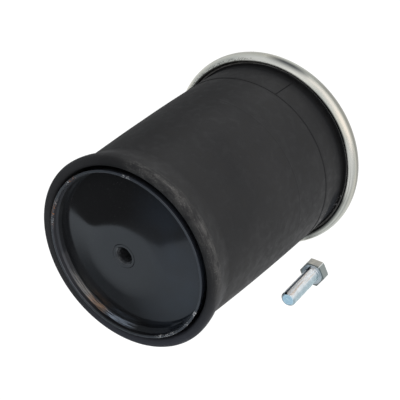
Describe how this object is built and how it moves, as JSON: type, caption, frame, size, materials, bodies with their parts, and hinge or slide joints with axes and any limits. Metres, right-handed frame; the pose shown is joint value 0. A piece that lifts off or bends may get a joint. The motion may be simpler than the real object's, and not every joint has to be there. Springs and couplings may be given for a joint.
{
  "type": "air suspension spring",
  "caption": "Rolling lobe air spring: rubber sleeve between a crimped steel bead plate and a dished black piston with a threaded centre, standing closed beside its loose hex bolt.",
  "frame": {"origin": "middle of the bead plate's flat mounting face", "axes": "+Z along the spring's axis, from the bead plate to the piston; +X through the two mounting nuts; +Y through the air inlet"},
  "size_m": [0.2769, 0.2284, 0.27],
  "materials": {
    "zinc_plate": "satin zinc plate",
    "zinc_fastener": "bright blue zinc plate",
    "core_wire": "brass coated bead wire",
    "rubber": "matte moulded",
    "liner_rubber": "smooth",
    "cord_ply": "rubberised nylon cord",
    "black_paint": "gloss black dip paint",
    "dark_steel": "black"
  },
  "bodies": {
    "plate": {"bead_plate": "zinc_plate", "mounting_nuts": "zinc_fastener", "air_inlet": "zinc_fastener", "upper_bead_core": "core_wire", "upper_bead": "rubber", "chafer_strip": "rubber", "sleeve_cover": "rubber", "sleeve_cords": "cord_ply", "sleeve_liner": "liner_rubber", "piston_bolt": "zinc_fastener"},
    "lobe": {"lobe_cover": "rubber", "lobe_cords": "cord_ply", "lobe_liner": "liner_rubber"},
    "piston": {"inner_cover": "rubber", "inner_cords": "cord_ply", "inner_liner": "liner_rubber", "lower_bead": "rubber", "lower_bead_core": "core_wire", "bead_clamp": "zinc_plate", "piston_shell": "black_paint", "piston_base": "black_paint", "base_boss": "dark_steel", "centre_tube": "dark_steel", "bumper": "liner_rubber", "bumper_screw": "zinc_fastener", "bumper_washer": "zinc_fastener", "bumper_nut": "zinc_fastener"}
  },
  "joints": [
    {"name": "piston_stroke", "type": "slide", "parent": "plate", "child": "piston", "axis": [0, 0, 1], "range_m": [0, 0.18], "deforming": ["inner_cover", "inner_cords", "inner_liner"]},
    {"name": "lobe_roll", "type": "slide", "parent": "plate", "child": "lobe", "axis": [0, 0, 1], "range_m": [0, 0.09], "deforming": ["sleeve_cover", "sleeve_cords", "sleeve_liner"]}
  ],
  "couplings": [
    {"joint": "lobe_roll", "follows": "piston_stroke", "ratio": 0.5}
  ]
}
